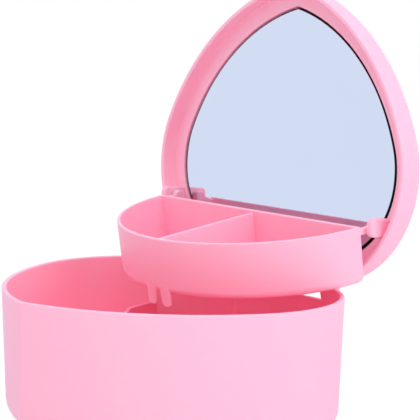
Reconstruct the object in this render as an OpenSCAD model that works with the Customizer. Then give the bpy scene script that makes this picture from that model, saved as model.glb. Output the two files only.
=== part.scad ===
// Heart-shaped vanity box with a mirror in the lid and a lift-out tray.
// Three mouldings on two hinge lines: base, lid and tray. The lid turns on two
// steel pins at the back of the lobes. The tray hangs between two lugs in the
// lid and swings level as the lid opens. The model stands open, as it is used.
//
// Plan frame: X across the lobes, the front tip at -Y, the hinge at +Y, Z up.
// The origin is on the underside, below the widest line of the heart.

/* [Outline] */
// Width across the two lobes
box_w = 130; // [112:1:160]
// Length from the front tip to the back of the lobes
box_len = 103; // [95:1:130]
// Depth of the notch between the lobes
notch_depth = 11.9; // [10:0.1:15]
// Radius of the long sides, as a share of the width
side_share = 0.66; // [0.64:0.002:0.8]
// Radius of the front tip
tip_r = 7; // [4:0.5:10]

/* [Base] */
// Height of the base
base_h = 44; // [38:1:60]
// Wall of the base and of the lid
wall = 1.7; // [1.4:0.1:2.4]
// Floor of the base
base_floor = 2; // [1.6:0.1:3]
// Radius of the bottom edge, outside
base_edge_r = 6.5; // [3:0.5:8]
// How far the base's wall draws in from the rim to the floor
base_draft = 1.3; // [0:0.1:2]

/* [Compartment walls] */
// Thickness of the compartment walls
divider_t = 1.6; // [1.2:0.1:2.2]
// Radius where the two arms meet, behind the tip
arm_nose_r = 14; // [8:1:18]
// Radius of the bend in each arm
arm_bend_r = 16; // [10:1:20]
// Distance of the bend's centre behind the widest line
arm_bend_y = 20.5; // [18:0.5:24]
// Lean of each arm's last stretch, out from straight back, in degrees
arm_lean = 18; // [5:1:25]

/* [Lid] */
// Thickness of the lid's panel
lid_panel = 1.8; // [1.6:0.1:2.2]
// Radius of the lid's outer edge
lid_edge_r = 4.5; // [2:0.5:6]
// Depth of the ledge round the mirror, from the lid's mouth
ledge_depth = 5.6; // [5:0.1:5.8]
// How far the lid opens, in degrees
open_angle = 95.7; // [90:0.1:105]

/* [Mirror] */
// Inset of the mirror from the lid's outline
mirror_inset = 8.7; // [8:0.1:10]
// Depth of the mirror's face, from the lid's mouth
mirror_depth = 6.1; // [6:0.1:8.4]
// Thickness of the glass
glass_t = 2; // [1.5:0.1:2]
// Thickness of the foam tape behind the glass
tape_t = 1; // [0.5:0.1:1.2]
// Width of the foam tape
tape_w = 5; // [3:0.5:8]

/* [Tray] */
// Height of the tray
tray_h = 19.2; // [14:0.2:20]
// Length of the tray, nose to back wall
tray_len = 46.4; // [38:0.2:50]
// Wall of the tray
tray_wall = 1.5; // [1.2:0.1:2]
// Floor of the tray
tray_floor = 1.5; // [1.2:0.1:2.4]
// Radius of the tray's bottom edge, outside
tray_edge_r = 2.6; // [1.6:0.1:4]
// Height of the tray's rim above its pivots
tray_rise = 1.6; // [1.2:0.1:3]
// Distance of the tray's back wall in front of its pivots
tray_set = 6.3; // [5:0.1:8]
// How far the tray's nose dips when the box is open, in degrees
tray_dip = 8.1; // [2:0.1:9]
// Width of each guide tab under the tray's nose
tab_w = 5.8; // [4:0.1:8]
// Length of the guide tabs
tab_h = 4.6; // [2:0.1:6]

/* [Hinges and pivots] */
// Radius of the steel hinge pins
pin_r = 1; // [0.75:0.05:1.25]
// Radius of the hinge knuckles
knuckle_r = 2.8; // [2.4:0.1:3.2]
// Width of the lid's knuckle
lid_knuckle_w = 10.8; // [8:0.2:14]
// Width of each of the base's knuckles
base_knuckle_w = 5; // [3:0.5:7]
// Distance of the tray's pivots in front of the hinge
pivot_reach = 21.6; // [18:0.2:24]
// Height of the tray's pivots above the base's rim, closed
pivot_up = 1; // [0:0.1:2]
// Radius of the tray's pivot studs
stud_r = 1.4; // [1:0.05:1.6]
// Radius of the lugs' round ends
lug_r = 3.2; // [3:0.1:4]
// Thickness of the lugs and of the tray's ears
lug_t = 2.6; // [2:0.1:3]

/* [Clearances] */
// Radial clearance of a pin that turns in its bore
pin_fit = 0.05; // [0.02:0.01:0.1]
// Gap between the lid's mouth and the base's rim when closed
lid_gap = 0.3; // [0.2:0.05:0.5]
// Side and end gaps between pieces that move past each other
running_gap = 0.3; // [0.2:0.05:0.5]
// Gap between the closed tray and what it rests on
tray_gap = 0.4; // [0.3:0.05:0.8]
// Gap between the mirror and the edge of its pocket
mirror_fit = 0.8; // [0.4:0.05:1]
// Gap between the tray and the lugs
lug_gap = 0.6; // [0.3:0.05:1]

/* [Hidden] */

pink = [0.97, 0.70, 0.81];
eps = 0.01;
$fn = 48;

// ---- outline of the heart -------------------------------------------------
half_w = box_w / 2;
side_r = side_share * box_w;
// The lobe radius that gives this width and this notch.
lobe_r = notch_depth + half_w - sqrt(2 * notch_depth * half_w);
lobe_x = half_w - lobe_r;
tip_y = lobe_r - box_len;
tip_steps = 6;
side_steps = 16;
lobe_steps = 22;
edge_steps = 5;
// A fine tip still keeps this radius in the inner outlines.
least_tip_r = 1.5;

function arc(centre, r, from, to, steps) =
    [for (i = [0:steps]) let (a = from + (to - from) * i / steps) centre + r * [cos(a), sin(a)]];
function bearing(a, b) = atan2(b[1] - a[1], b[0] - a[0]);
function mirrored(side) = [for (i = [len(side) - 2:-1:1]) [-side[i][0], side[i][1]]];

// Centre of the right-hand side's arc: it touches the lobe and the tip from inside.
lobe_c = [lobe_x, 0];
tip_c = [0, tip_y + tip_r];
span = norm(tip_c - lobe_c);
along = ((side_r - lobe_r) ^ 2 - (side_r - tip_r) ^ 2 + span ^ 2) / (2 * span);
away = sqrt((side_r - lobe_r) ^ 2 - along ^ 2);
toward_tip = (tip_c - lobe_c) / span;
side_c = lobe_c + along * toward_tip + away * [toward_tip[1], -toward_tip[0]];

// Right half of the heart, from the tip to the notch, moved in by inset.
function half_heart(inset) =
    let (r_tip = max(tip_r - inset, least_tip_r),
         reach = side_r - inset - r_tip,
         c_tip = [0, side_c[1] - sqrt(reach ^ 2 - side_c[0] ^ 2)],
         r_lobe = lobe_r - inset,
         a_tip = bearing(side_c, c_tip),
         a_lobe = bearing(side_c, lobe_c),
         a_notch = r_lobe > lobe_x ? acos(-lobe_x / r_lobe) : 180)
    concat(arc(c_tip, r_tip, -90, a_tip, tip_steps),
           [for (i = [1:side_steps - 1])
               let (a = a_tip + (a_lobe - a_tip) * i / side_steps)
               side_c + (side_r - inset) * [cos(a), sin(a)]],
           arc(lobe_c, r_lobe, a_lobe, a_notch, lobe_steps));
function heart(inset) = let (side = half_heart(inset)) concat(side, mirrored(side));

// Half the width of the heart, moved in by inset, at a distance y behind the widest line.
function half_width(inset, y) = lobe_x + sqrt((lobe_r - inset) ^ 2 - y ^ 2);

// ---- solids from outlines -------------------------------------------------
// A closed skin through outlines of equal length, lowest first, with flat ends.
// Both ends are fanned from the point that sees the whole outline.
module loft(outlines, heights, centre = [0, 0]) {
    n = len(outlines[0]);
    m = len(outlines);
    low = n * m;
    points = concat([for (k = [0:m - 1]) for (p = outlines[k]) [p[0], p[1], heights[k]]],
                    [[centre[0], centre[1], heights[0]], [centre[0], centre[1], heights[m - 1]]]);
    sides = [for (k = [0:m - 2]) for (i = [0:n - 1])
        let (a = k * n + i, b = k * n + (i + 1) % n)
        each [[a, b + n, b], [a, a + n, b + n]]];
    ends = [for (i = [0:n - 1])
        each [[low, i, (i + 1) % n],
              [low + 1, (m - 1) * n + (i + 1) % n, (m - 1) * n + i]]];
    polyhedron(points, concat(sides, ends));
}

// Insets and heights of a quarter-round edge of radius r, from its flat side up.
function edge_inset(r, k) = r * (1 - sin(90 * k / edge_steps));
function edge_rise(r, k) = r * (1 - cos(90 * k / edge_steps));

// Heart-shaped block with a rounded bottom edge, drawn in by draft above that edge.
module heart_block(inset, bottom, top, r, draft = 0) {
    loft(concat([for (k = [0:edge_steps]) heart(inset + draft + edge_inset(r, k))], [heart(inset)]),
         concat([for (k = [0:edge_steps]) bottom + edge_rise(r, k)], [top]));
}

module heart_plate(inset, bottom, top) {
    translate([0, 0, bottom]) linear_extrude(top - bottom) polygon(heart(inset));
}

module heart_ring(outer, inner, bottom, top) {
    translate([0, 0, bottom])
        linear_extrude(top - bottom)
            difference() {
                polygon(heart(outer));
                polygon(heart(inner));
            }
}

// ---- hinge line, pivots and tray, all measured closed -----------------------
rim_z = base_h;
hinge_in = 0.3;   // the hinge axis lies just inside the back of the lobes
hinge_up = 0.7;   // and just above the rim, so that the open lid clears it
hinge_y = lobe_r - hinge_in;
hinge_z = rim_z + hinge_up;
pivot_y = hinge_y - pivot_reach;
pivot_z = rim_z + pivot_up;
lid_h = mirror_depth + glass_t + tape_t + lid_panel;
hinge_slot_w = lid_knuckle_w + 2 * running_gap;
hinge_slot_depth = 5;
base_web_h = 9;   // the base's knuckles run out into the wall over this height
lid_web_h = lid_h - lid_edge_r - hinge_up - 0.5;

lug_out = half_width(wall, pivot_y + lug_r) - 2 * running_gap;
lug_in = lug_out - lug_t;
lug_skin = 0.8;   // each lug is closed outside the stud's bore
ear_r = lug_r - 0.6;
tray_half_w = lug_in - lug_gap;
tray_back_y = pivot_y - tray_set;
tray_nose_y = tray_back_y - tray_len;
tray_rim_z = pivot_z + tray_rise;
tray_z = tray_rim_z - tray_h;
tray_draft = 0.2; // the tray's walls draw in by this much towards the floor
divider_top = tray_z - tray_gap;
divider_low = 0.8; // the tray's divider stops this far below its rim
tab_t = 2;
tab_lead = 1.4;   // each tab's inner side slants by this much
tab_nose_r = 1.3;
tab_gap = 0.4;    // between each guide tab and the stem

// ---- placing: from closed to open -------------------------------------------
module open_lid() {
    translate([0, hinge_y, hinge_z]) rotate([-open_angle, 0, 0]) translate([0, -hinge_y, -hinge_z])
        children();
}
reach_y = pivot_y - hinge_y;
reach_z = pivot_z - hinge_z;
open_pivot_y = hinge_y + reach_y * cos(open_angle) + reach_z * sin(open_angle);
open_pivot_z = hinge_z - reach_y * sin(open_angle) + reach_z * cos(open_angle);
module open_tray() {
    translate([0, open_pivot_y, open_pivot_z]) rotate([tray_dip, 0, 0])
        translate([0, -pivot_y, -pivot_z])
            children();
}

// ---- hinge pieces -------------------------------------------------------------
// A bar along X with a profile drawn in the YZ plane.
module along_x(from, to) {
    translate([from, 0, 0]) rotate([90, 0, 90]) linear_extrude(to - from) children();
}

module rod(r, from, to, y, z) {
    translate([from, y, z]) rotate([0, 90, 0]) cylinder(r = r, h = to - from);
}

// Knuckle profile: a round eye that runs out into the wall over a signed height.
module knuckle_profile(web) {
    translate([hinge_y, hinge_z]) circle(r = knuckle_r);
    polygon([[hinge_y + knuckle_r, hinge_z], [hinge_y - knuckle_r / 2, hinge_z],
             [hinge_y - knuckle_r / 2, hinge_z + web],
             [lobe_r - wall / 4, hinge_z + web]]);
}

// The two base knuckles of one hinge stand either side of the lid's knuckle.
module base_knuckles(x) {
    for (s = [-1, 1])
        let (near = x + s * hinge_slot_w / 2, far = near + s * base_knuckle_w)
        along_x(min(near, far), max(near, far)) knuckle_profile(-base_web_h);
}

pin_half = hinge_slot_w / 2 + base_knuckle_w;
module hinge_pin(x) {
    color("silver") rod(pin_r, x - pin_half, x + pin_half, hinge_y, hinge_z);
}

// ---- compartment walls in the base ---------------------------------------------
// Region behind the two arms. The arms run at 45 degrees to a bend, then back to the lobes.
arm_front_y = tray_nose_y + 9.3;  // clear of the tray's guide tabs
function arm_outline(inset) =
    let (nose_c = [0, arm_front_y + arm_nose_r],
         slant = arm_nose_r * sqrt(2) - nose_c[1],
         bend_c = [arm_bend_y + slant - arm_bend_r * sqrt(2), arm_bend_y],
         last = bend_c + (arm_bend_r - inset) * [cos(arm_lean), -sin(arm_lean)],
         side = concat(arc(nose_c, arm_nose_r - inset, -90, -45, 6),
                       arc(bend_c, arm_bend_r - inset, -45, -arm_lean, 5),
                       [last + box_w / 3 * [sin(arm_lean), cos(arm_lean)]]))
    concat(side, [for (i = [len(side) - 1:-1:1]) [-side[i][0], side[i][1]]]);

// The walls run a little way into the base's wall and floor.
module compartment_walls() {
    t = divider_t / 2;
    intersection() {
        heart_block(wall / 2, base_floor / 2, rim_z, base_edge_r - wall / 2, base_draft);
        linear_extrude(divider_top)
            union() {
                difference() {
                    polygon(arm_outline(-t));
                    polygon(arm_outline(t));
                }
                translate([-t, tip_y]) square([2 * t, arm_front_y - tip_y]);
            }
    }
}

// ---- nodes --------------------------------------------------------------------
module base_shell() {
    color(pink)
        difference() {
            union() {
                difference() {
                    union() {
                        heart_block(0, 0, rim_z, base_edge_r, base_draft);
                        for (s = [-1, 1]) base_knuckles(s * lobe_x);
                    }
                    heart_block(wall, base_floor, rim_z, base_edge_r - wall, base_draft);
                    heart_plate(wall, rim_z - eps, rim_z + 2 * knuckle_r);
                }
                compartment_walls();
            }
            for (s = [-1, 1]) {
                translate([s * lobe_x - hinge_slot_w / 2, lobe_r - 4 * wall, rim_z - hinge_slot_depth])
                    cube([hinge_slot_w, 6 * wall, hinge_slot_depth + 2 * knuckle_r]);
                rod(pin_r, s * lobe_x - pin_half - 1, s * lobe_x + pin_half + 1, hinge_y, hinge_z);
            }
        }
}

module hinge_pin_left() { hinge_pin(-lobe_x); }
module hinge_pin_right() { hinge_pin(lobe_x); }

// Lug: a flat tongue with a round end that hangs from the lid over the tray's ear.
module lug(s) {
    x = s > 0 ? lug_in : -lug_out;
    along_x(x, x + lug_t)
        union() {
            translate([pivot_y, pivot_z]) circle(r = lug_r);
            translate([pivot_y - lug_r, pivot_z]) square([2 * lug_r, lid_h - lid_panel + eps]);
        }
}

// A stud or its bore, from one distance from the middle to another, on side s.
module stud(s, r, from, to) {
    rod(r, min(s * from, s * to), max(s * from, s * to), pivot_y, pivot_z);
}

// Pocket for the mirror and the tape behind it.
module mirror_pocket() {
    heart_plate(mirror_inset - mirror_fit, rim_z + ledge_depth - eps, rim_z + lid_h - lid_panel);
}

module lid_cavity() {
    heart_plate(wall, rim_z + lid_gap - eps, rim_z + ledge_depth);
}

module lid_shell() {
    color(pink)
        open_lid()
            difference() {
                union() {
                    difference() {
                        union() {
                            translate([0, 0, 2 * rim_z + lid_h + lid_gap])
                                mirror([0, 0, 1])
                                    heart_block(0, rim_z + lid_gap, rim_z + lid_h, lid_edge_r);
                            for (s = [-1, 1])
                                along_x(s * lobe_x - lid_knuckle_w / 2, s * lobe_x + lid_knuckle_w / 2)
                                    knuckle_profile(lid_web_h);
                        }
                        lid_cavity();
                    }
                    for (s = [-1, 1]) lug(s);
                }
                mirror_pocket();
                for (s = [-1, 1]) {
                    rod(pin_r + pin_fit, s * lobe_x - pin_half, s * lobe_x + pin_half, hinge_y, hinge_z);
                    stud(s, stud_r + pin_fit, lug_in - 1, lug_out - lug_skin);
                    // room for the base's knuckles in the lid's back edge
                    for (e = [-1, 1])
                        let (near = s * lobe_x + e * (hinge_slot_w / 2 - running_gap),
                             far = near + e * (base_knuckle_w + 2 * running_gap))
                        rod(knuckle_r + tray_gap, min(near, far), max(near, far), hinge_y, hinge_z);
                }
            }
}

module mirror_tape() {
    color("dimgray")
        open_lid()
            heart_ring(mirror_inset - mirror_fit / 2, mirror_inset + tape_w - 1, rim_z + mirror_depth + glass_t,
                       rim_z + mirror_depth + glass_t + tape_t);
}

module mirror_glass() {
    color("lightsteelblue")
        open_lid()
            heart_plate(mirror_inset, rim_z + mirror_depth, rim_z + mirror_depth + glass_t);
}

// D-shaped outline of the tray: half an ellipse in front of a straight back wall.
tray_steps = 44;
function tray_outline(inset) =
    [for (i = [0:tray_steps])
        let (a = 180 * i / tray_steps - 180)
        [(tray_half_w - inset) * cos(a), tray_back_y - inset + (tray_len - 2 * inset) * sin(a)]];

module tray_block(inset, bottom, r) {
    floor_inset = inset + tray_draft;
    loft(concat([for (k = [0:edge_steps]) tray_outline(floor_inset + edge_inset(r, k))],
                [tray_outline(inset)]),
         concat([for (k = [0:edge_steps]) bottom + edge_rise(r, k)], [tray_rim_z + (inset > 0 ? 1 : 0)]),
         [0, tray_back_y - tray_len / 3]);
}

// Ear: carries the pivot stud behind the tray's back wall, inside the lug.
module tray_ear(s) {
    x = s > 0 ? tray_half_w - lug_t : -tray_half_w;
    along_x(x, x + lug_t)
        hull() {
            translate([pivot_y, pivot_z]) circle(r = ear_r);
            translate([tray_back_y - lug_t, pivot_z - ear_r]) square([lug_t, ear_r + tray_rise - eps]);
        }
    stud(s, stud_r, tray_half_w - lug_t / 2, lug_out - lug_skin - running_gap);
}

// Guide tab: one of a pair under the nose that drop over the stem.
module guide_tab(s) {
    near = divider_t / 2 + tab_gap;
    translate([0, tray_nose_y + tray_draft + tray_edge_r * 0.4 + tab_t, 0])
        rotate([90, 0, 0])
            linear_extrude(tab_t)
                hull() {
                    for (x = [near + tab_lead + tab_nose_r, near + tab_w - tab_nose_r])
                        translate([s * x, tray_z - tab_h + tab_nose_r]) circle(r = tab_nose_r);
                    translate([s > 0 ? near : -near - tab_w, tray_z]) square([tab_w, tray_floor]);
                }
}

module tray() {
    color(pink)
        open_tray()
            union() {
                difference() {
                    tray_block(0, tray_z, tray_edge_r);
                    tray_block(tray_wall, tray_z + tray_floor, tray_edge_r - tray_wall);
                }
                translate([-tray_wall / 2, tray_nose_y + tray_wall, tray_z + tray_floor / 2])
                    cube([tray_wall, tray_len - 1.5 * tray_wall, tray_h - tray_floor / 2 - divider_low]);
                for (s = [-1, 1]) {
                    tray_ear(s);
                    guide_tab(s);
                }
            }
}

base_shell();
hinge_pin_left();
hinge_pin_right();
lid_shell();
mirror_tape();
mirror_glass();
tray();
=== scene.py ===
import math

import bpy
import numpy as np
from mathutils import Matrix, Vector


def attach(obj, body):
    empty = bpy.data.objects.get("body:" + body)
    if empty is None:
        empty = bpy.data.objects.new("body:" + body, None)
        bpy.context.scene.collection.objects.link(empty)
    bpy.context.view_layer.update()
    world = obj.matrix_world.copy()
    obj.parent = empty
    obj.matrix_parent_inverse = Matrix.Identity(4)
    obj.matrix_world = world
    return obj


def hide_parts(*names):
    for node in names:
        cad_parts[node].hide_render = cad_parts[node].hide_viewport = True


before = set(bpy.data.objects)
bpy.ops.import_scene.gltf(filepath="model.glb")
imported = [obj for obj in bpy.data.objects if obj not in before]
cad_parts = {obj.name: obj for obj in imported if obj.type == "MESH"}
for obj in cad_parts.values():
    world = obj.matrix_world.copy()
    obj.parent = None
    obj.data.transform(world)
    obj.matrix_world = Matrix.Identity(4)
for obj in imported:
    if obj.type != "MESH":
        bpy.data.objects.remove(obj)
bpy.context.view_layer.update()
mm = 0.001
beyond = 1.0   # cutting tools stand this far past what they cut

# sizes in mm, in the closed box's own axes: x across the lobes, tip at -y, hinge at +y
# every piece is fitted to its neighbours, so the sizes of all of them stand together
heart = {
    "width": 130.0,
    "length": 103.0,
    "notch": 11.9,        # depth of the notch between the lobes
    "sideShare": 0.66,    # radius of the long sides, as a share of the width
    "tipRadius": 7.0,
    "leastTip": 1.5,      # the inner outlines keep at least this radius at the tip
    "notchRound": 0.3,    # rounding of the notch, growing with the inset
    "notchEase": 0.7,     # and growing faster by this share
    "notchEaseFrom": 4,   # past this inset
    "tipPoints": 14,
    "sidePoints": 54,
    "lobePoints": 84,
    "notchPoints": 12,
}
base = {
    "height": 44.0,
    "wall": 1.7,
    "floor": 2.0,
    "edge": 6.5,          # radius of the bottom edge
    "draft": 1.3,         # the wall draws in by this much towards the floor
    "lip": 0.55,          # rounding of the rim
    "edgeSteps": 10,
    "lipSteps": 5,
    "insideSteps": 8,
    "dividerThick": 1.6,
    "dividerLip": 0.4,
    "stemBehindNose": 9.3,
    "stemPast": 2.0,      # the stem starts this far outside the tip and is cut off by the wall
    "stemInto": 0.3,      # and ends this far inside the arms
    "armNose": 14.0,
    "armBend": 16.0,
    "armBendY": 20.5,
    "armLean": 18.0,
}
lid = {
    "gap": 0.3,
    "wall": 1.7,
    "edge": 4.5,
    "lip": 0.5,
    "edgeSteps": 8,
    "lipSteps": 4,
    "ledge": 5.6,         # depth of the ledge from the mouth
    "corner": 0.7,        # hollow between the wall and the ledge
    "pocketLip": 0.3,     # rounding of the ledge's inner edge
    "pocketPast": 0.1,    # the pocket is cut from this far below the ledge
    "mirror": 8.7,        # inset of the mirror
    "mirrorFit": 0.8,     # gap round the mirror
    "mirrorDepth": 6.1,
    "glass": 2.0,
    "glassBevel": 0.25,   # at the front of the glass
    "glassBack": 0.1,     # and at its back
    "glassRing": 1.6,     # the painted shade of the gap round the glass is drawn inside a ring this wide
    "tape": 1.0,
    "tapeWidth": 4.0,     # how far the tape reaches in under the glass
    "panel": 1.8,
    "open": 95.7,         # in degrees from closed
}
hinge = {
    "in": 0.3,            # the axis lies this far inside the back of the lobes
    "up": 0.7,            # and this far above the rim
    "eye": 2.8,           # radius of the knuckles
    "eyePoints": 24,
    "bevel": 0.25,
    "pin": 1.0,           # radius, as in the next line
    "bore": 1.05,
    "lidEye": 10.8,       # width of the lid's knuckle
    "baseEye": 5.0,       # width of each of the base's knuckles
    "side": 0.3,          # between neighbouring knuckles
    "baseWeb": 9.0,       # the knuckles run out into the wall over this height
    "webShort": 0.5,      # the lid's webs end this much before the rounding of its top
    "slotFront": 30.9,    # y where the slot for the lid's knuckle begins
    "slotBack": 48.0,
    "slotDepth": 5.0,
    "slotAbove": 6.0,
    "room": 0.4,          # round the base's knuckles in the lid's edge
}
lug = {
    "reach": 21.6,        # from the hinge forward to the tray's pivots
    "up": 1.0,            # height of the pivots above the base's rim
    "thick": 2.6,
    "end": 3.2,           # half the tongue's width, and its reach past the pivot
    "longer": 1.8,        # the tongue runs on past the pivot by this much more
    "corner": 2.1,        # rounding of its two corners
    "cornerPoints": 9,
    "bevel": 0.5,
    "bore": 1.45,
    "skin": 0.8,          # closed outside the stud
    "side": 0.6,          # between the lug and the lid's wall
    "gap": 0.6,           # between the lug and the tray's ear
}
tray = {
    "set": 6.3,           # from the pivots forward to the back wall
    "length": 46.4,
    "rise": 1.6,          # rim above the pivots
    "height": 19.2,
    "wall": 1.5,
    "floor": 1.5,
    "edge": 2.6,
    "lip": 0.45,
    "draft": 0.2,
    "edgeSteps": 8,
    "lipSteps": 4,
    "insideSteps": 6,
    "corner": 1.0,
    "leastCorner": 0.3,
    "cornerPoints": 7,
    "frontPoints": 111,
    "dividerLow": 0.8,
    "dividerLip": 0.4,
    "eye": 2.1,           # radius of the ears round the pivots
    "eyePoints": 32,
    "armLow": 0.9,        # top of the ear's arm below the rim
    "arm": 2.0,           # height of the arm from the back wall to the eye
    "armInto": 1.3,       # the arm starts this far inside the back wall
    "stud": 1.4,          # radius
    "studShort": 0.3,     # between the stud's end and the lug's skin
    "studBevel": 0.15,
    "bevel": 0.3,
    "dip": 8.1,           # of the open tray, in degrees
    "rest": 0.4,          # gap under the closed tray
    "tab": 4.9,           # width of each guide tab
    "tabLength": 4.6,
    "tabThick": 1.2,
    "tabLead": 0.5,       # each tab's inner side leans in by this much towards its tip
    "tabNose": 1.5,       # rounding of the two corners of the tip
    "tabTurn": 0.25,      # the inner corner starts this much later, in radians
    "tabPoints": 9,
    "tabRoot": 0.1,       # the tab ends this far under the top of the bottom edge's rounding
    "tabSet": 0.35,       # and stands this far behind the nose
    "tabGap": 0.4,
}

# places that follow from the sizes
halfWidth = heart["width"] / 2
lobe = heart["notch"] + halfWidth - math.sqrt(2 * heart["notch"] * halfWidth)
lobeX = halfWidth - lobe
hingeY, hingeZ = lobe - hinge["in"], base["height"] + hinge["up"]
slotHalf = hinge["lidEye"] / 2 + hinge["side"]
pinHalf = slotHalf + hinge["baseEye"]
lidHeight = lid["mirrorDepth"] + lid["glass"] + lid["tape"] + lid["panel"]
lidTop, lidMouth = base["height"] + lidHeight, base["height"] + lid["gap"]
ledgeZ, glassZ = base["height"] + lid["ledge"], base["height"] + lid["mirrorDepth"]
pocketInset = lid["mirror"] - lid["mirrorFit"]
pivotY, pivotZ = hingeY - lug["reach"], base["height"] + lug["up"]
lugOut = (lobeX + math.sqrt((lobe - lid["wall"]) ** 2 - (pivotY + lug["end"]) ** 2)) - lug["side"]
lugIn = lugOut - lug["thick"]
boreEnd = lugOut - lug["skin"]
trayHalf = lugIn - lug["gap"]
trayBack = pivotY - tray["set"]
trayNose = trayBack - tray["length"]
trayRim = pivotZ + tray["rise"]
trayLow = trayRim - tray["height"]
dividerTop = trayLow - tray["rest"]
stemEnd = trayNose + base["stemBehindNose"]


def arcPoints(centre, radius, start, stop, count):
    # points at equal angles along a circle, angles in radians
    angle = np.linspace(start, stop, count)
    return np.stack([centre[0] + radius * np.cos(angle), centre[1] + radius * np.sin(angle)], axis=1)


def circleProfile(y, z, radius, count=40):
    # a full circle whose last point stops one step short of the first
    return arcPoints((y, z), radius, 0, 2 * math.pi * (1 - 1 / count), count)


def heartOutline(inset):
    # arcs of the tip, the long side, the lobe and the notch, each touching the next, then their mirror image;
    # the side's centre is as far from the lobe's and the tip's centres as its radius is larger than theirs;
    # an inset makes these three radii smaller and the notch's larger, and keeps the arcs touching
    tipRadius, sideRadius = heart["tipRadius"], heart["sideShare"] * heart["width"]
    lobeCentre = np.array([lobeX, 0.0])
    tipCentre = np.array([0.0, lobe - heart["length"] + tipRadius])
    span = np.linalg.norm(tipCentre - lobeCentre)
    along = ((sideRadius - lobe) ** 2 - (sideRadius - tipRadius) ** 2 + span ** 2) / (2 * span)
    away = math.sqrt((sideRadius - lobe) ** 2 - along ** 2)
    toward = (tipCentre - lobeCentre) / span
    sideCentre = lobeCentre + along * toward + away * np.array([toward[1], -toward[0]])
    tip = max(tipRadius - inset, heart["leastTip"])
    tipY = sideCentre[1] - math.sqrt((sideRadius - inset - tip) ** 2 - sideCentre[0] ** 2)
    toTip = math.atan2(tipY - sideCentre[1], -sideCentre[0])
    toLobe = math.atan2(-sideCentre[1], lobeX - sideCentre[0])
    notch = heart["notchRound"] + inset + heart["notchEase"] * max(0, inset - heart["notchEaseFrom"])
    notchY = math.sqrt((lobe - inset + notch) ** 2 - lobeX ** 2)
    toNotch = math.atan2(notchY, -lobeX)
    right = np.concatenate([
        arcPoints((0, tipY), tip, -math.pi / 2, toTip, heart["tipPoints"]),
        arcPoints(sideCentre, sideRadius - inset, toTip, toLobe, heart["sidePoints"])[1:],
        arcPoints(lobeCentre, lobe - inset, toLobe, toNotch, heart["lobePoints"])[1:],
        arcPoints((0, notchY), notch, toNotch - math.pi, -math.pi / 2, heart["notchPoints"])[1:],
    ])
    left = right[-2:0:-1] * [-1, 1]
    return np.concatenate([right, left])


def trayOutline(inset):
    # half an ellipse in front of a straight back wall, its two back corners rounded
    halfX, depth = trayHalf - inset, tray["length"] - 2 * inset
    back = trayBack - inset
    corner = max(tray["corner"] - inset, tray["leastCorner"])
    start = math.asin(corner / depth)
    angle = np.linspace(start - math.pi, -start, tray["frontPoints"])
    front = np.stack([halfX * np.cos(angle), back + depth * np.sin(angle)], axis=1)
    count = tray["cornerPoints"]
    rightCorner = arcPoints((halfX - corner, back - corner), corner, 0, math.pi / 2, count)[1:]
    leftCorner = arcPoints((corner - halfX, back - corner), corner, math.pi / 2, math.pi, count)[:-1]
    return np.concatenate([front, rightCorner, leftCorner])


def quarter(fromInset, toInset, fromZ, toZ, steps, leaves):
    # a quarter ellipse between two profile points; it leaves the first along the "flat" or up the "side"
    angle = np.linspace(0, math.pi / 2, steps + 1)
    early, late = np.sin(angle), 1 - np.cos(angle)
    across, up = (early, late) if leaves == "flat" else (late, early)
    return [(fromInset + (toInset - fromInset) * a, fromZ + (toZ - fromZ) * u) for a, u in zip(across, up)]


def ringAt(outline, inset, z):
    # the outline at one inset, laid flat at one height
    flat = outline(inset)
    return np.column_stack([flat, np.full(len(flat), z)])


def ringQuads(rows, count, closed=False):
    # quads from each ring of count points to the next, and from the last ring to the first where closed
    row, place = np.meshgrid(np.arange(rows if closed else rows - 1), np.arange(count), indexing="ij")
    here, there = row * count, ((row + 1) % rows) * count
    following = (place + 1) % count
    quads = np.stack([here + place, here + following, there + following, there + place], axis=-1)
    return quads.reshape(-1, 4)


def toMesh(name, verts, faces):
    # a new object at the origin from points in mm
    mesh = bpy.data.meshes.new(name)
    mesh.from_pydata(verts * mm, [], faces)
    mesh.update()
    piece = bpy.data.objects.new(name, mesh)
    bpy.context.scene.collection.objects.link(piece)
    return piece


def ringSkin(name, outline, profile, centre=(0.0, 0.0)):
    # a closed skin: for each (inset, z) of the profile the outline is drawn at that inset and height,
    # neighbouring rings are joined by quads, and both ends are fanned from the centre
    rings = [ringAt(outline, inset, z) for inset, z in profile]
    rows, count = len(rings), len(rings[0])
    verts = np.concatenate(rings + [[[*centre, profile[0][1]], [*centre, profile[-1][1]]]])
    place = np.arange(count)
    following = (place + 1) % count
    end = (rows - 1) * count
    first = np.stack([np.full(count, count * rows), following, place], axis=1)
    last = np.stack([np.full(count, count * rows + 1), end + place, end + following], axis=1)
    return toMesh(name, verts, ringQuads(rows, count).tolist() + first.tolist() + last.tolist())


def barAlongX(name, profile, start, stop, bevel=0.0):
    # a profile of (y, z) points carried along x in four rings; the bevel draws the end rings in
    profile = np.asarray(profile, float)
    count = len(profile)
    run = np.roll(profile, -1, axis=0) - np.roll(profile, 1, axis=0)
    inward = np.stack([-run[:, 1], run[:, 0]], axis=1)
    inward /= np.linalg.norm(inward, axis=1)[:, None] + 1e-12
    small = profile + inward * bevel
    rings = [(start, small), (start + bevel, profile), (stop - bevel, profile), (stop, small)]
    verts = np.concatenate([np.column_stack([np.full(count, x), ring]) for x, ring in rings])
    quads = ringQuads(4, count)[:, [0, 3, 2, 1]]
    ends = [list(range(count)), list(range(4 * count - 1, 3 * count - 1, -1))]
    return toMesh(name, verts, quads.tolist() + ends)


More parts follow.
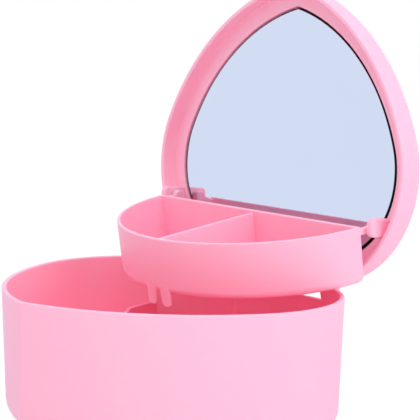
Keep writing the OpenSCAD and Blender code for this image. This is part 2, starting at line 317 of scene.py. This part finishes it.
def wallStrip(name, path, thick, low, high, lip, lipPoints=5):
    # a thin wall: a cross-section of the given thickness with rounded top edges, carried along a path
    path = np.asarray(path, float)
    along = np.gradient(path, axis=0)
    along /= np.linalg.norm(along, axis=1)[:, None]
    across = np.stack([-along[:, 1], along[:, 0]], axis=1)
    angle = np.linspace(0, math.pi / 2, lipPoints)
    out = thick / 2 - lip * (1 - np.cos(angle))
    up = high - lip + lip * np.sin(angle)
    offset = np.concatenate([[-thick / 2], -out, out[::-1], [thick / 2]])
    height = np.concatenate([[low], up, up[::-1], [low]])
    rows, count = len(path), len(offset)
    flat = path[:, None] + across[:, None] * offset[:, None]
    tall = np.broadcast_to(height[:, None], (rows, count, 1))
    verts = np.concatenate([flat, tall], axis=2).reshape(-1, 3)
    ends = [list(range(count - 1, -1, -1)), list(range((rows - 1) * count, rows * count))]
    return toMesh(name, verts, ringQuads(rows, count).tolist() + ends)


def boxSolid(name, low, high):
    # a block between two opposite corners
    corners = [[x, y, z] for z in (low[2], high[2]) for y in (low[1], high[1]) for x in (low[0], high[0])]
    faces = [(0, 2, 3, 1), (4, 5, 7, 6), (0, 1, 5, 4), (1, 3, 7, 5), (3, 2, 6, 7), (2, 0, 4, 6)]
    return toMesh(name, np.array(corners), faces)


def combine(piece, others, how):
    # one exact Boolean step for each of the other solids, which are used up
    for other in others:
        step = piece.modifiers.new("step", "BOOLEAN")
        step.operation = how
        step.solver = "EXACT"
        step.object = other
        graph = bpy.context.evaluated_depsgraph_get()
        made = bpy.data.meshes.new_from_object(piece.evaluated_get(graph))
        piece.modifiers.remove(step)
        old = piece.data
        piece.data = made
        bpy.data.meshes.remove(old)
        bpy.data.objects.remove(other)
    return piece


def finishSurface(piece, material, angle=32):
    # one material and smooth shading, with edges kept sharp past the angle in degrees
    piece.data.materials.clear()
    piece.data.materials.append(material)
    count = len(piece.data.polygons)
    piece.data.polygons.foreach_set("material_index", np.zeros(count, dtype=np.int32))
    piece.data.polygons.foreach_set("use_smooth", np.ones(count, dtype=bool))
    piece.data.set_sharp_from_angle(angle=math.radians(angle))
    piece.data.update()


def turnAbout(y, z, degrees):
    # a turn about a line along x
    there = Matrix.Translation((0, y * mm, z * mm))
    return there @ Matrix.Rotation(math.radians(degrees), 4, "X") @ there.inverted()


# pieces are drawn closed and then moved to the stored pose, lid open and tray dipping a little
openLid = turnAbout(hingeY, hingeZ, -lid["open"])
openPivot = openLid @ Vector((0, pivotY * mm, pivotZ * mm))
openTray = (Matrix.Translation(openPivot) @ Matrix.Rotation(math.radians(tray["dip"]), 4, "X")
            @ Matrix.Translation((0, -pivotY * mm, -pivotZ * mm)))


def newMaterial(name):
    # an empty material with its nodes, links and shader at hand
    material = bpy.data.materials.new(name)
    material.use_nodes = True
    nodes, links = material.node_tree.nodes, material.node_tree.links
    return material, nodes, links, nodes["Principled BSDF"]


def toLinear(rgb):
    # screen colours from 0 to 255 as the linear values that a socket takes
    c = np.asarray(rgb, float) / 255
    return [*np.where(c <= 0.04045, c / 12.92, ((c + 0.055) / 1.055) ** 2.4), 1.0]


def noiseColour(nodes, links, vector, look):
    # noise in the object's own space, running from the look's deep colour to its light one
    noise = nodes.new("ShaderNodeTexNoise")
    noise.inputs["Scale"].default_value = look.get("scale", 5)
    noise.inputs["Detail"].default_value = look.get("detail", 2)
    ramp = nodes.new("ShaderNodeValToRGB")
    ends = ramp.color_ramp.elements
    ends[0].position, ends[1].position = look.get("span", (0, 1))
    ends[0].color, ends[1].color = toLinear(look["deep"]), toLinear(look["light"])
    links.new(vector, noise.inputs["Vector"])
    links.new(noise.outputs["Fac"], ramp.inputs["Fac"])
    return ramp.outputs["Color"]


plastic = {
    "light": (255, 185, 208),
    "deep": (254, 182, 206),
    "scale": 14,          # of the faint clouding
    "detail": 3,
    "span": (0.3, 0.75),
    "roughness": 0.36,
    "through": 0.3,       # share of the light that travels inside the plastic
    "spread": (0.003, 0.001, 0.0013),
    "grain": 900,
    "grainStrength": 0.04,
    "grainHeight": 0.0002,
}


def pinkPlastic(name):
    # moulded plastic that lets some light through: one pink with faint clouding and a fine skin
    material, nodes, links, shader = newMaterial(name)
    where = nodes.new("ShaderNodeTexCoord")
    colour = noiseColour(nodes, links, where.outputs["Object"], plastic)
    links.new(colour, shader.inputs["Base Color"])
    grain = nodes.new("ShaderNodeTexNoise")
    grain.inputs["Scale"].default_value = plastic["grain"]
    bump = nodes.new("ShaderNodeBump")
    bump.inputs["Strength"].default_value = plastic["grainStrength"]
    bump.inputs["Distance"].default_value = plastic["grainHeight"]
    links.new(where.outputs["Object"], grain.inputs["Vector"])
    links.new(grain.outputs["Fac"], bump.inputs["Height"])
    links.new(bump.outputs["Normal"], shader.inputs["Normal"])
    shader.inputs["Roughness"].default_value = plastic["roughness"]
    shader.inputs["Subsurface Weight"].default_value = plastic["through"]
    shader.inputs["Subsurface Radius"].default_value = plastic["spread"]
    shader.inputs["Subsurface Scale"].default_value = 1.0
    return material


silver = {
    "deep": (236, 238, 241),
    "light": (240, 242, 245),
    "scale": 30,
    "roughness": 0.02,
    # painted shade that falls in the gap round the glass, laid on the glass's own edge
    "gapShade": (30, 22, 28),
    "wide": 0.6,          # mm of painted gap shade at the lobes
    "narrow": 0.1,        # and towards the tip
    "fade": 0.2,
    "low": 0.082,         # height, in m, where the painted shade starts to narrow
    "high": 0.112,
    "side": -0.2,         # the glass below this u is its side and back, which stay clear
}


def silveredGlass():
    # silvered glass with painted shade of the gap round it along its edge, where u, the distance in mm from
    # the edge, is less than a width that shrinks from wide to narrow with the height
    material, nodes, links, shader = newMaterial("silveredGlass")
    where = nodes.new("ShaderNodeTexCoord")
    fromEdge, place = nodes.new("ShaderNodeSeparateXYZ"), nodes.new("ShaderNodeSeparateXYZ")
    links.new(where.outputs["UV"], fromEdge.inputs["Vector"])
    links.new(where.outputs["Object"], place.inputs["Vector"])
    width = nodes.new("ShaderNodeMapRange")
    width.inputs["From Min"].default_value = silver["low"]
    width.inputs["From Max"].default_value = silver["high"]
    width.inputs["To Min"].default_value = silver["wide"]
    width.inputs["To Max"].default_value = silver["narrow"]
    links.new(place.outputs["Z"], width.inputs["Value"])
    inward = nodes.new("ShaderNodeMath")
    inward.operation = "SUBTRACT"
    links.new(fromEdge.outputs["X"], inward.inputs[0])
    links.new(width.outputs["Result"], inward.inputs[1])
    fade = nodes.new("ShaderNodeMapRange")
    fade.inputs["From Max"].default_value = silver["fade"]
    links.new(inward.outputs["Value"], fade.inputs["Value"])
    side = nodes.new("ShaderNodeMath")
    side.operation = "LESS_THAN"
    side.inputs[1].default_value = silver["side"]
    links.new(fromEdge.outputs["X"], side.inputs[0])
    clear = nodes.new("ShaderNodeMath")
    clear.operation = "MAXIMUM"
    links.new(side.outputs["Value"], clear.inputs[0])
    links.new(fade.outputs["Result"], clear.inputs[1])
    # the painted gap shade near the edge, the silver elsewhere
    mix = nodes.new("ShaderNodeMix")
    mix.data_type = "RGBA"
    mix.inputs["A"].default_value = toLinear(silver["gapShade"])
    links.new(clear.outputs["Value"], mix.inputs["Factor"])
    links.new(noiseColour(nodes, links, where.outputs["Object"], silver), mix.inputs["B"])
    links.new(mix.outputs["Result"], shader.inputs["Base Color"])
    shader.inputs["Metallic"].default_value = 1
    shader.inputs["Roughness"].default_value = silver["roughness"]
    return material


foam = {
    "deep": (24, 23, 25),
    "light": (44, 42, 45),
    "scale": 1500,
    "roughness": 0.9,
}


def blackFoam():
    # matt black with the speckle of fine cells
    material, nodes, links, shader = newMaterial("blackFoam")
    where = nodes.new("ShaderNodeTexCoord")
    links.new(noiseColour(nodes, links, where.outputs["Object"], foam), shader.inputs["Base Color"])
    shader.inputs["Roughness"].default_value = foam["roughness"]
    return material


steel = {
    "deep": (176, 178, 182),
    "light": (206, 208, 212),
    "stretch": (60, 2500, 2500),
    "roughness": 0.28,
}


def drawnSteel():
    # bright metal whose noise is stretched along x into drawing lines
    material, nodes, links, shader = newMaterial("drawnSteel")
    where = nodes.new("ShaderNodeTexCoord")
    stretch = nodes.new("ShaderNodeMapping")
    stretch.inputs["Scale"].default_value = steel["stretch"]
    links.new(where.outputs["Object"], stretch.inputs["Vector"])
    links.new(noiseColour(nodes, links, stretch.outputs["Vector"], steel), shader.inputs["Base Color"])
    shader.inputs["Metallic"].default_value = 1
    shader.inputs["Roughness"].default_value = steel["roughness"]
    return material


pinkBase, pinkLid, pinkTray = (pinkPlastic(name) for name in ("pinkBase", "pinkLid", "pinkTray"))
mirrorSilver = silveredGlass()
foamBlack = blackFoam()
steelBright = drawnSteel()
print("materials made")


def eyeProfile(web):
    # a round eye whose web runs out into the wall over a signed height: down for the base, up for the lid
    radius = hinge["eye"]
    far = hingeZ + web
    wallY = lobe - base["wall"] / 4
    start = 0 if web < 0 else math.pi
    arc = arcPoints((hingeY, hingeZ), radius, start, start + math.pi, hinge["eyePoints"])
    foot = [[hingeY - radius, hingeZ + math.copysign(radius, web)], [hingeY - radius / 2, far], [wallY, far]]
    return np.concatenate([arc, foot if web < 0 else foot[::-1]])


def makeCup():
    # the heart drawn from the bottom edge up the drafted wall, over the round rim and down to the floor
    height, wall, edge = base["height"], base["wall"], base["edge"]
    lip, draft = base["lip"], base["draft"]
    inner = edge - wall
    turn = base["floor"] + inner
    profile = (quarter(draft + edge, draft, 0, edge, base["edgeSteps"], "flat")
               + [(draft * 0.5, (height + edge) * 0.5)]
               + quarter(draft * lip / height, lip, height - lip, height, base["lipSteps"], "side")
               + quarter(wall - lip, wall, height, height - lip, base["lipSteps"], "flat")
               + [(wall + draft * 0.5, (height + turn) * 0.5)]
               + quarter(wall + draft, wall + draft + inner, turn, base["floor"],
                         base["insideSteps"], "side"))
    return ringSkin("baseShell", heartOutline, profile)


def armEdge():
    # a nose arc, a run at 45 degrees, a bend and a straight run back, past the wall that will cut it off
    nose, bend, lean = base["armNose"], base["armBend"], math.radians(base["armLean"])
    noseY = stemEnd + nose
    slant = nose * math.sqrt(2) - noseY
    bendCentre = (base["armBendY"] + slant - bend * math.sqrt(2), base["armBendY"])
    noseArc = arcPoints((0, noseY), nose, -math.pi / 2, -math.pi / 4, 16)
    bendArc = arcPoints(bendCentre, bend, -math.pi / 4, -lean, 14)
    end = bendArc[-1] + heart["width"] / 3 * np.array([math.sin(lean), math.cos(lean)])
    right = np.concatenate([noseArc, bendArc, [end]])
    return np.concatenate([right[:0:-1] * [-1, 1], right])


def makeWalls():
    # the arms and the stem, ended in the middle of the cup's wall by a heart-shaped block
    low, thick, lip = base["floor"] / 2, base["dividerThick"], base["dividerLip"]
    arms = wallStrip("arms", armEdge(), thick, low, dividerTop, lip)
    stemY = np.linspace(heartOutline(0)[0][1] - base["stemPast"], stemEnd + base["stemInto"], 12)
    stem = wallStrip("stem", np.stack([0 * stemY, stemY], axis=1), thick, low, dividerTop, lip)
    combine(arms, [stem], "UNION")
    half, edge, draft = base["wall"] / 2, base["edge"], base["draft"]
    rounding = quarter(edge + draft, half + draft, low, low + edge - half, base["insideSteps"], "flat")
    block = ringSkin("block", heartOutline, rounding + [(half, base["height"])])
    return combine(arms, [block], "INTERSECT")


def makeBaseEyes():
    # two knuckles on each side, with the lid's knuckle between them
    eyes = []
    for side in (-1, 1):
        for near, far in ((slotHalf, pinHalf), (-pinHalf, -slotHalf)):
            profile = eyeProfile(-hinge["baseWeb"])
            eyes.append(barAlongX("eye", profile, side * lobeX + near, side * lobeX + far, hinge["bevel"]))
    return eyes


def makeBaseCuts():
    # a slot for each of the lid's knuckles and a bore for each pin
    cuts = []
    low, high = base["height"] - hinge["slotDepth"], base["height"] + hinge["slotAbove"]
    reach = pinHalf + beyond
    for x in (-lobeX, lobeX):
        cuts.append(boxSolid("slot", (x - slotHalf, hinge["slotFront"], low),
                             (x + slotHalf, hinge["slotBack"], high)))
        cuts.append(barAlongX("bore", circleProfile(hingeY, hingeZ, hinge["pin"]), x - reach, x + reach))
    return cuts


baseShell = makeCup()
combine(baseShell, [makeWalls(), *makeBaseEyes()], "UNION")
combine(baseShell, makeBaseCuts(), "DIFFERENCE")
finishSurface(baseShell, pinkBase)
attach(baseShell, "base")
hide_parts("base_shell")
print("base made", len(baseShell.data.polygons))


def makeLidCup():
    # the heart drawn from the round top edge down to the mouth, over the rim, in along the ledge
    # and up the pocket
    wall, edge, lip, corner = lid["wall"], lid["edge"], lid["lip"], lid["corner"]
    pocketLip, steps = lid["pocketLip"], lid["lipSteps"]
    profile = (quarter(edge, 0, lidTop, lidTop - edge, lid["edgeSteps"], "flat")
               + quarter(0, lip, lidMouth + lip, lidMouth, steps, "side")
               + quarter(wall - lip, wall, lidMouth, lidMouth + lip, steps, "flat")
               + quarter(wall, wall + corner, ledgeZ - corner, ledgeZ, steps, "side")
               + quarter(pocketInset - pocketLip, pocketInset, ledgeZ, ledgeZ + pocketLip, steps, "flat")
               + [(pocketInset, lidTop - lid["panel"])])
    shell = ringSkin("lidShell", heartOutline, profile)
    shell.data.flip_normals()
    return shell


def lugProfile():
    # a flat tongue with two rounded corners, standing out of the ledge
    end, corner, count = lug["end"], lug["corner"], lug["cornerPoints"]
    top = lidTop - lid["panel"] / 2
    low = pivotZ - end - lug["longer"] + corner
    return np.concatenate([arcPoints((pivotY - end + corner, low), corner, math.pi, 1.5 * math.pi, count),
                           arcPoints((pivotY + end - corner, low), corner, 1.5 * math.pi, 2 * math.pi, count),
                           [[pivotY + end, top], [pivotY - end, top]]])


def makeLidEyesAndLugs():
    # one knuckle and one tongue on each side
    web = lidHeight - lid["edge"] - hinge["up"] - hinge["webShort"]
    half = hinge["lidEye"] / 2
    eyes = [barAlongX("eye", eyeProfile(web), x - half, x + half, hinge["bevel"]) for x in (-lobeX, lobeX)]
    lugs = []
    for side in (-1, 1):
        lowX, highX = sorted((side * lugOut, side * lugIn))
        lugs.append(barAlongX("lug", lugProfile(), lowX, highX, lug["bevel"]))
    return eyes + lugs


def makeLidCuts():
    # the mirror's pocket once more, so that nothing stands in it, the pins' bores, the blind bores of
    # the tray's studs, and round hollows beside each knuckle that leave room for the base's knuckles
    cuts = [ringSkin("pocket", heartOutline, [(pocketInset, ledgeZ - lid["pocketPast"]),
                                              (pocketInset, lidTop - lid["panel"])])]
    for side in (-1, 1):
        x = side * lobeX
        cuts.append(barAlongX("bore", circleProfile(hingeY, hingeZ, hinge["bore"]), x - pinHalf, x + pinHalf))
        lowX, highX = sorted((side * (lugIn - beyond), side * boreEnd))
        cuts.append(barAlongX("bore", circleProfile(pivotY, pivotZ, lug["bore"]), lowX, highX))
        near, far = slotHalf - hinge["side"], pinHalf + hinge["side"]
        hollow = circleProfile(hingeY, hingeZ, hinge["eye"] + hinge["room"])
        cuts.append(barAlongX("room", hollow, x + near, x + far))
        cuts.append(barAlongX("room", hollow, x - far, x - near))
    return cuts


lidShell = makeLidCup()
combine(lidShell, makeLidEyesAndLugs(), "UNION")
combine(lidShell, makeLidCuts(), "DIFFERENCE")
lidShell.data.transform(openLid)
finishSurface(lidShell, pinkLid)
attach(lidShell, "lid")
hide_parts("lid_shell")
print("lid made", len(lidShell.data.polygons))


def makeGlass():
    # a flat heart with a bevelled front edge; each vertex's u is its distance in mm from the edge,
    # and is below zero on the side and the back
    inset, back = lid["mirror"], glassZ + lid["glass"]
    profile = [(inset + lid["glassRing"], glassZ), (inset + lid["glassBevel"], glassZ),
               (inset, glassZ + lid["glassBevel"]), (inset, back - lid["glassBack"]),
               (inset + lid["glassBack"], back)]
    glass = ringSkin("mirrorGlass", heartOutline, profile)
    ringU = [lid["glassRing"], lid["glassBevel"], 0, -0.5, -0.5]
    centreU = [10, 0]
    count = (len(glass.data.vertices) - len(centreU)) // len(profile)
    vertexU = np.concatenate([np.repeat(ringU, count), centreU])
    corners = np.empty(len(glass.data.loops), dtype=np.int32)
    glass.data.loops.foreach_get("vertex_index", corners)
    layer = glass.data.uv_layers.new(name="edge")
    layer.data.foreach_set("uv", np.column_stack([vertexU[corners], np.zeros(len(corners))]).ravel())
    return glass


def makeTape():
    # a flat ring between two outlines: front face, inner edge, back face, outer edge
    outer, inner = lid["mirror"] - lid["mirrorFit"] / 2, lid["mirror"] + lid["tapeWidth"]
    low = glassZ + lid["glass"]
    high = low + lid["tape"]
    profile = ((outer, low), (inner, low), (inner, high), (outer, high))
    rings = [ringAt(heartOutline, inset, z) for inset, z in profile]
    quads = ringQuads(4, len(rings[0]), closed=True)[:, [0, 3, 2, 1]]
    return toMesh("mirrorTape", np.concatenate(rings), quads.tolist())


mirrorGlass = makeGlass()
mirrorGlass.data.transform(openLid)
finishSurface(mirrorGlass, mirrorSilver, 20)
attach(mirrorGlass, "lid")
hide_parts("mirror_glass")

mirrorTape = makeTape()
mirrorTape.data.transform(openLid)
finishSurface(mirrorTape, foamBlack)
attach(mirrorTape, "lid")
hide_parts("mirror_tape")
print("mirror and tape made")


def makeTrayCup():
    # the tray's outline drawn from the bottom edge up the wall, over the round rim and down to the floor
    wall, edge, lip, draft = tray["wall"], tray["edge"], tray["lip"], tray["draft"]
    inner = edge - wall
    floorTop = trayLow + tray["floor"]
    profile = (quarter(draft + edge, draft, trayLow, trayLow + edge, tray["edgeSteps"], "flat")
               + quarter(0, lip, trayRim - lip, trayRim, tray["lipSteps"], "side")
               + quarter(wall - lip, wall, trayRim, trayRim - lip, tray["lipSteps"], "flat")
               + quarter(wall + draft, wall + draft + inner, floorTop + inner, floorTop,
                         tray["insideSteps"], "side"))
    return ringSkin("trayShell", trayOutline, profile, (0.0, trayBack - tray["length"] / 3))


def earProfile():
    # a slim arm a little under the rim, from the back wall to a round eye at the pivot
    radius = tray["eye"]
    front = trayBack - tray["armInto"]
    high = trayRim - tray["armLow"]
    low = high - tray["arm"]
    arc = arcPoints((pivotY, pivotZ), radius, -math.pi - math.asin((low - pivotZ) / radius),
                    math.pi - math.asin((high - pivotZ) / radius), tray["eyePoints"])
    return np.concatenate([arc, [[front, high], [front, low]]])


def tabProfile(side):
    # straight outer side, slanted inner side, two rounded corners at the tip
    near = base["dividerThick"] / 2 + tray["tabGap"]
    far = near + tray["tab"]
    nose, tip, count = tray["tabNose"], trayLow - tray["tabLength"], tray["tabPoints"]
    top = trayLow + tray["edge"] - tray["tabRoot"]
    inner = arcPoints((near + tray["tabLead"] + nose, tip + nose), nose, math.pi + tray["tabTurn"],
                      1.5 * math.pi, count)
    outer = arcPoints((far - nose, tip + nose), nose, 1.5 * math.pi, 2 * math.pi, count)
    points = np.concatenate([[[near, top], [near, trayLow]], inner, outer, [[far, top]]])
    return points if side > 0 else points[::-1] * [-1, 1]


def makeTab(side):
    # drawn as a bar along x, then x and y change places
    tab = barAlongX("tab", tabProfile(side), 0, tray["tabThick"], tray["bevel"])
    noseY = (trayNose + tray["tabSet"]) * mm
    tab.data.transform(Matrix(((0, 1, 0, 0), (1, 0, 0, noseY), (0, 0, 1, 0), (0, 0, 0, 1))))
    tab.data.flip_normals()
    return tab


def makeTrayExtras():
    # the dividing wall, and on each side an ear, its stud and a guide tab
    dividerY = np.linspace(trayNose + tray["wall"], trayBack - tray["wall"] / 2, 8)
    extras = [wallStrip("divider", np.stack([0 * dividerY, dividerY], axis=1), tray["wall"],
                        trayLow + tray["floor"] / 2, trayRim - tray["dividerLow"], tray["dividerLip"])]
    for side in (-1, 1):
        lowX, highX = sorted((side * trayHalf, side * (trayHalf - lug["thick"])))
        extras.append(barAlongX("ear", earProfile(), lowX, highX, tray["bevel"]))
        lowX, highX = sorted((side * (trayHalf - lug["thick"] / 2), side * (boreEnd - tray["studShort"])))
        stud = circleProfile(pivotY, pivotZ, tray["stud"])
        extras.append(barAlongX("stud", stud, lowX, highX, tray["studBevel"]))
        extras.append(makeTab(side))
    return extras


trayShell = makeTrayCup()
combine(trayShell, makeTrayExtras(), "UNION")
trayShell.data.transform(openTray)
finishSurface(trayShell, pinkTray)
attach(trayShell, "tray")
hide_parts("tray")
print("tray made", len(trayShell.data.polygons))

# the pins keep the frame's own shape
for node in ("hinge_pin_left", "hinge_pin_right"):
    pin = bpy.data.objects.get(node)
    if pin is not None:
        pin.data.materials.clear()
        pin.data.materials.append(steelBright)
        pin.data.polygons.foreach_set("use_smooth", np.ones(len(pin.data.polygons), dtype=bool))
print("pins finished")

studio = {
    "roomTint": (1.0, 0.985, 0.995),
    "roomLevel": 0.79,
    "mirrored": (0.75, 0.82, 1.0),   # what the mirror and the gloss see all round
    "mirroredLevel": 1.0,
    "floorHalf": 3,                  # in m
    "floorColour": (0.9, 0.9, 0.91),
    "floorRoughness": 0.9,
    "floorWhite": 0.88,              # share of plain white in the floor as the camera sees it
    "floorLevel": 1.04,
    "key": 4.7,
    "keyPlace": (1.1, 0.15, 0.5),
    "keyAim": (0, 0, 0.06),
    "keySize": 0.8,
    "top": 7.5,
    "topPlace": (0.1, -0.2, 1.3),
    "topAim": (0, 0, 0.05),
    "topSize": 1.1,
}


def glow(nodes, kind, colour, level):
    # one plain colour of light at one level
    light = nodes.new(kind)
    light.inputs["Color"].default_value = (*colour, 1)
    light.inputs["Strength"].default_value = level
    return light.outputs[0]


def mixByRay(nodes, links, share, plain, special):
    # the special shader for that share of the rays and the plain one for the rest
    mix = nodes.new("ShaderNodeMixShader")
    links.new(share, mix.inputs["Fac"])
    links.new(plain, mix.inputs[1])
    links.new(special, mix.inputs[2])
    return mix.outputs["Shader"]


def whiteFloor():
    # white with the object's shadow for the camera, an even pale room in reflections, plain otherwise
    material, nodes, links, shader = newMaterial("whiteFloor")
    shader.inputs["Base Color"].default_value = (*studio["floorColour"], 1)
    shader.inputs["Roughness"].default_value = studio["floorRoughness"]
    path = nodes.new("ShaderNodeLightPath")
    share = nodes.new("ShaderNodeMath")
    share.operation = "MULTIPLY"
    share.inputs[1].default_value = studio["floorWhite"]
    links.new(path.outputs["Is Camera Ray"], share.inputs[0])
    white = glow(nodes, "ShaderNodeEmission", (1, 1, 1), studio["floorLevel"])
    pale = glow(nodes, "ShaderNodeEmission", studio["mirrored"], studio["mirroredLevel"])
    seen = mixByRay(nodes, links, share.outputs["Value"], shader.outputs["BSDF"], white)
    mirrored = mixByRay(nodes, links, path.outputs["Is Glossy Ray"], seen, pale)
    links.new(mirrored, nodes["Material Output"].inputs["Surface"])
    return material


def makeFloor():
    # one level square
    half = studio["floorHalf"]
    corners = [(-half, -half, 0), (half, -half, 0), (half, half, 0), (-half, half, 0)]
    mesh = bpy.data.meshes.new("floor")
    mesh.from_pydata(corners, [], [(0, 1, 2, 3)])
    mesh.materials.append(whiteFloor())
    piece = bpy.data.objects.new("floor", mesh)
    bpy.context.scene.collection.objects.link(piece)
    return piece


def lightWorld():
    # white for the camera, an even pale room in reflections, and the room's plain light otherwise
    world = bpy.context.scene.world or bpy.data.worlds.new("studio")
    bpy.context.scene.world = world
    world.use_nodes = True
    nodes, links = world.node_tree.nodes, world.node_tree.links
    nodes.clear()
    path = nodes.new("ShaderNodeLightPath")
    room = glow(nodes, "ShaderNodeBackground", studio["roomTint"], studio["roomLevel"])
    white = glow(nodes, "ShaderNodeBackground", (1, 1, 1), 1.0)
    pale = glow(nodes, "ShaderNodeBackground", studio["mirrored"], studio["mirroredLevel"])
    seen = mixByRay(nodes, links, path.outputs["Is Camera Ray"], room, white)
    mirrored = mixByRay(nodes, links, path.outputs["Is Glossy Ray"], seen, pale)
    links.new(mirrored, nodes.new("ShaderNodeOutputWorld").inputs["Surface"])


def softLamp(name, place, aim, size, watts):
    # a square lamp turned towards its aim, which reflections don't show
    data = bpy.data.lights.new(name, "AREA")
    data.size = size
    data.energy = watts
    lamp = bpy.data.objects.new(name, data)
    bpy.context.scene.collection.objects.link(lamp)
    lamp.location = place
    lamp.rotation_euler = (Vector(aim) - Vector(place)).to_track_quat("-Z", "Y").to_euler()
    lamp.visible_glossy = False


floor = makeFloor()
lightWorld()
softLamp("keyLamp", studio["keyPlace"], studio["keyAim"], studio["keySize"], studio["key"])
softLamp("topLamp", studio["topPlace"], studio["topAim"], studio["topSize"], studio["top"])
print("floor and lights made")

view = {
    "place": (0.45103, -0.35164, 0.14205),
    "yaw": 51.07,
    "pitch": 7.27,
    "roll": 0.725,
    "focal": 1685.3,   # in pixels of the picture
    "picture": 420,    # its width in pixels
    "sensor": 36,
}


def makeCamera():
    # forward comes from yaw and pitch, right lies level, and both right and up then turn by the roll
    yaw, pitch, roll = (math.radians(view[angle]) for angle in ("yaw", "pitch", "roll"))
    forward = Vector((-math.sin(yaw) * math.cos(pitch), math.cos(yaw) * math.cos(pitch), -math.sin(pitch)))
    right = Vector((math.cos(yaw), math.sin(yaw), 0))
    up = right.cross(forward)
    right, up = math.cos(roll) * right + math.sin(roll) * up, math.cos(roll) * up - math.sin(roll) * right
    data = bpy.data.cameras.new("camera")
    data.sensor_width = view["sensor"]
    data.lens = view["focal"] / view["picture"] * view["sensor"]
    camera = bpy.data.objects.new("camera", data)
    bpy.context.scene.collection.objects.link(camera)
    place = view["place"]
    camera.matrix_world = Matrix((
        (right.x, up.x, -forward.x, place[0]),
        (right.y, up.y, -forward.y, place[1]),
        (right.z, up.z, -forward.z, place[2]),
        (0, 0, 0, 1)))
    return camera


bpy.context.scene.camera = makeCamera()
bpy.context.scene.view_settings.view_transform = "Standard"
bpy.context.scene.cycles.diffuse_bounces = 12   # light stays in the deep pink compartments
print("camera made")
